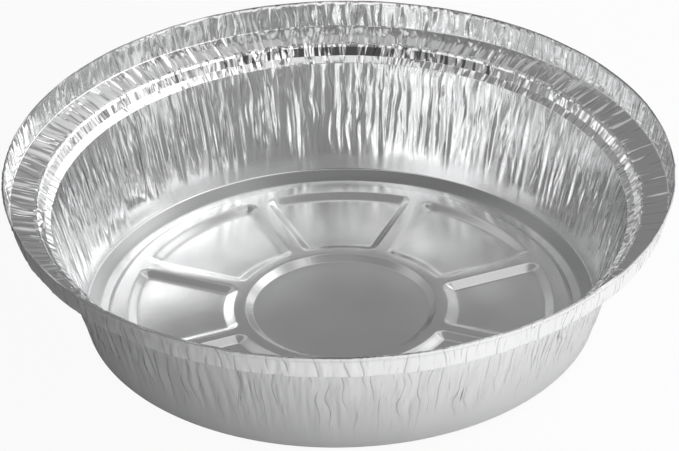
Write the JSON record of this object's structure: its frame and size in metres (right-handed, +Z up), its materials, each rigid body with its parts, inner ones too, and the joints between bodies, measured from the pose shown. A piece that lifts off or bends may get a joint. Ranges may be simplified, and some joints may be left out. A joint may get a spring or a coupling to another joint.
{
  "type": "foil pie tin",
  "caption": "Round, deep foil tin in one piece, with a pleated, tapering wall, a shelf for a lid inside an upright rim, and a base pressed with sunk panels round a middle disc.",
  "frame": {"origin": "on the table under the middle of the tin", "axes": "+Z up along the tin's axis, +Y towards the back as the picture shows it, through the middle of one base panel"},
  "size_m": [0.1812, 0.1813, 0.0442],
  "materials": {
    "foil": "bright, thinly rolled foil with a soft mirror reflection"
  },
  "bodies": {
    "root": {"pie_tin": "foil"}
  },
  "joints": []
}
